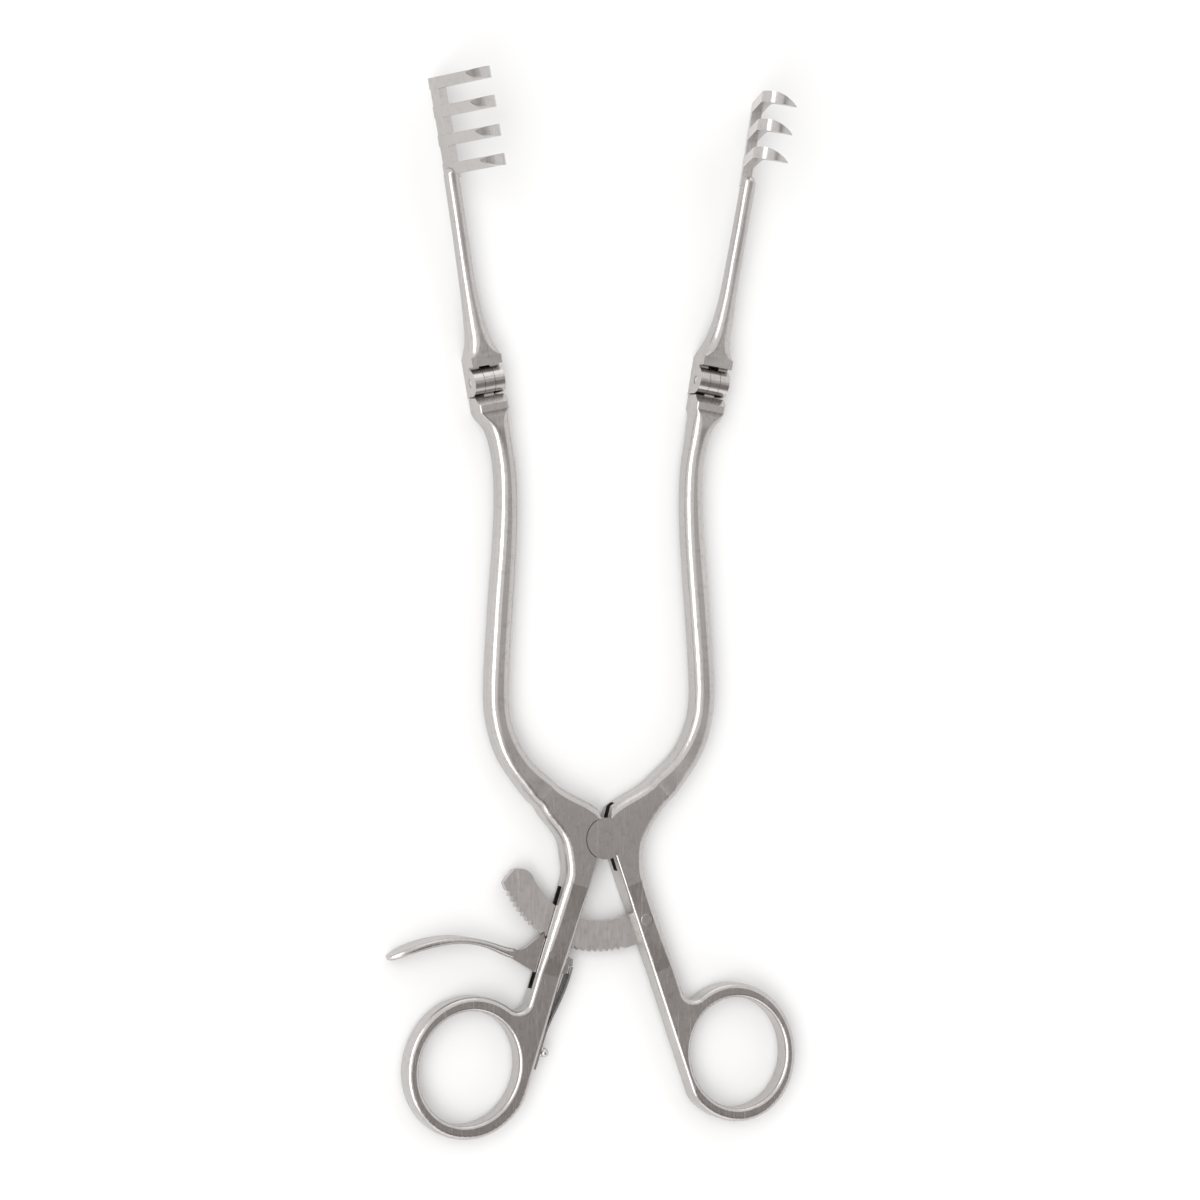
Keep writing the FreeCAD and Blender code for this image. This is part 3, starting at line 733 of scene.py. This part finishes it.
# The knots of the prongs: the bend is the same on both blades, the points are not.
BEND_LIFT = (
    (-0.00780, 0.0), (-0.00710, 0.00035), (-0.00640, 0.00065), (-0.00580, 0.00083),
    (-0.00516, 0.00095), (-0.00420, 0.00100), (-0.00320, 0.00087),
)
LEVEL_POINT = (
    (-0.00200, 0.00057), (-0.00100, 0.00028), (0.0, -0.00005), (0.00070, -0.00030),
    (0.00140, -0.00054),
)
CURLED_POINT = (
    (-0.00200, 0.00054), (-0.00100, 0.00019), (-0.00045, -0.00006), (0.0, -0.00038),
    (0.00040, -0.00065), (0.00070, -0.00092), (0.00140, -0.00145),
)


def packed_groups() -> list[SubAssembly]:
    """Describes the groups whose solids are shown as they were packed.

    Returns:
        The handles with their pivot, the ratchet bar, and the release with its lever.
    """
    return [
        SubAssembly("handles", {
            "left_handle": Steel.FORGED,
            "right_handle": Steel.FORGED,
            "pivot_pin": Steel.FORGED,
        }),
        SubAssembly("ratchet", {"ratchet_bar": Steel.MILLED}),
        SubAssembly("release", {
            "release_lever": Steel.FORGED,
            "lever_pin": Steel.FORGED,
            "lever_spring": Steel.SPRING,
        }),
    ]


def blades() -> list[Blade]:
    """Describes the two blades.

    Returns:
        The left blade with four prongs and the right one with three, which curl further.
    """
    return [
        Blade(Side.LEFT, BEND_LIFT + LEVEL_POINT),
        Blade(Side.RIGHT, BEND_LIFT + CURLED_POINT, reach_gain=0.00055),
    ]


def ratchet_pin() -> TurnedPiece:
    """Describes the pin that holds the ratchet bar in the right handle.

    Returns:
        The pin, with both edges eased.
    """
    eased = ((0.00175, 0.00006), (0.00166, 0.00006))
    return TurnedPiece(
        name="ratchet_pin_turned", node="ratchet_pin", body="right_handle", slot="satin_steel",
        steel=Steel.FORGED, foot=(0.01294, -0.02393, 0.0005), way=(0.0, 0.0, 1.0),
        radius=0.0018, length=0.0070, foot_rings=eased, head_rings=eased,
    )


def hinge_pin(side: Side) -> TurnedPiece:
    """Describes the pin of one blade's hinge.

    Args:
        side: The blade's side.

    Returns:
        The pin, with both ends rounded off.
    """
    half_length, radius = 0.0043, 0.00115
    insets = ((0.00006, 0.00010), (0.00018, 0.00009), (0.00043, 0.00005))
    rounding = tuple((radius - inset, rise) for inset, rise in insets)
    turn = math.radians(TOE_IN_DEG)
    way = (math.cos(turn), -side.value * math.sin(turn), 0.0)
    middle = (side.value * HINGE_ACROSS, HINGE_ALONG, MIDDLE_HEIGHT)
    return TurnedPiece(
        name=f"{side.word}_hinge_pin_turned", node=f"{side.word}_hinge_pin",
        body=f"{side.word}_blade", slot="bright_steel", steel=Steel.BRIGHT,
        foot=tuple(m - half_length * w for m, w in zip(middle, way)), way=way,
        radius=radius, length=2.0 * half_length, foot_rings=rounding, head_rings=rounding,
    )


def ball_screw() -> SlottedScrew:
    """Describes the ball-headed screw that holds the leaf spring.

    Returns:
        The screw: shank, flange on the leaf, short neck, and a slotted ball.
    """
    way = (0.94922, -0.31461, 0.0)
    handle_face = (-0.020369, -0.060471, MIDDLE_HEIGHT)
    leaf_outside = 0.00066
    flange_radius, flange_thick = 0.0021, 0.0004
    shank_rings = ((0.0011, 0.0), (0.00108, 0.0044), (0.00096, 0.00012))
    flange_edge, neck = (0.00195, 0.00012), (0.00105, 0.00005)
    ball_radius, neck_rise = 0.00142, 0.00006
    turns = [math.radians(a) for a in (-48.0, -30.0, -10.0, 10.0, 30.0, 50.0, 68.0, 82.0)]
    ball_rings = [(ball_radius * math.cos(turns[0]), neck_rise)]
    for near, far in zip(turns, turns[1:]):
        rise = ball_radius * (math.sin(far) - math.sin(near))
        ball_rings.append((ball_radius * math.cos(far), rise))
    return SlottedScrew(
        name="spring_screw_turned", node="spring_screw", body="left_handle", slot="bright_steel",
        steel=Steel.BRIGHT, foot=tuple(c + leaf_outside * w for c, w in zip(handle_face, way)),
        way=way, radius=flange_radius, length=flange_thick, foot_rings=shank_rings,
        head_rings=(flange_edge, neck, *ball_rings),
    )


def main() -> None:
    """Builds the instrument's groups in order, then the studio and the camera."""
    logging.basicConfig(level=logging.INFO, format="%(message)s")
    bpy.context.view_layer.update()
    steels = {finish.steel: finish.build() for finish in FINISHES}
    turned = (ratchet_pin(), hinge_pin(Side.LEFT), hinge_pin(Side.RIGHT), ball_screw())
    for group in (*packed_groups(), *blades(), *turned):
        group.build()
        group.dress(steels)
    Studio().build()
    PhotoCamera().build()


if __name__ == "__main__":
    main()
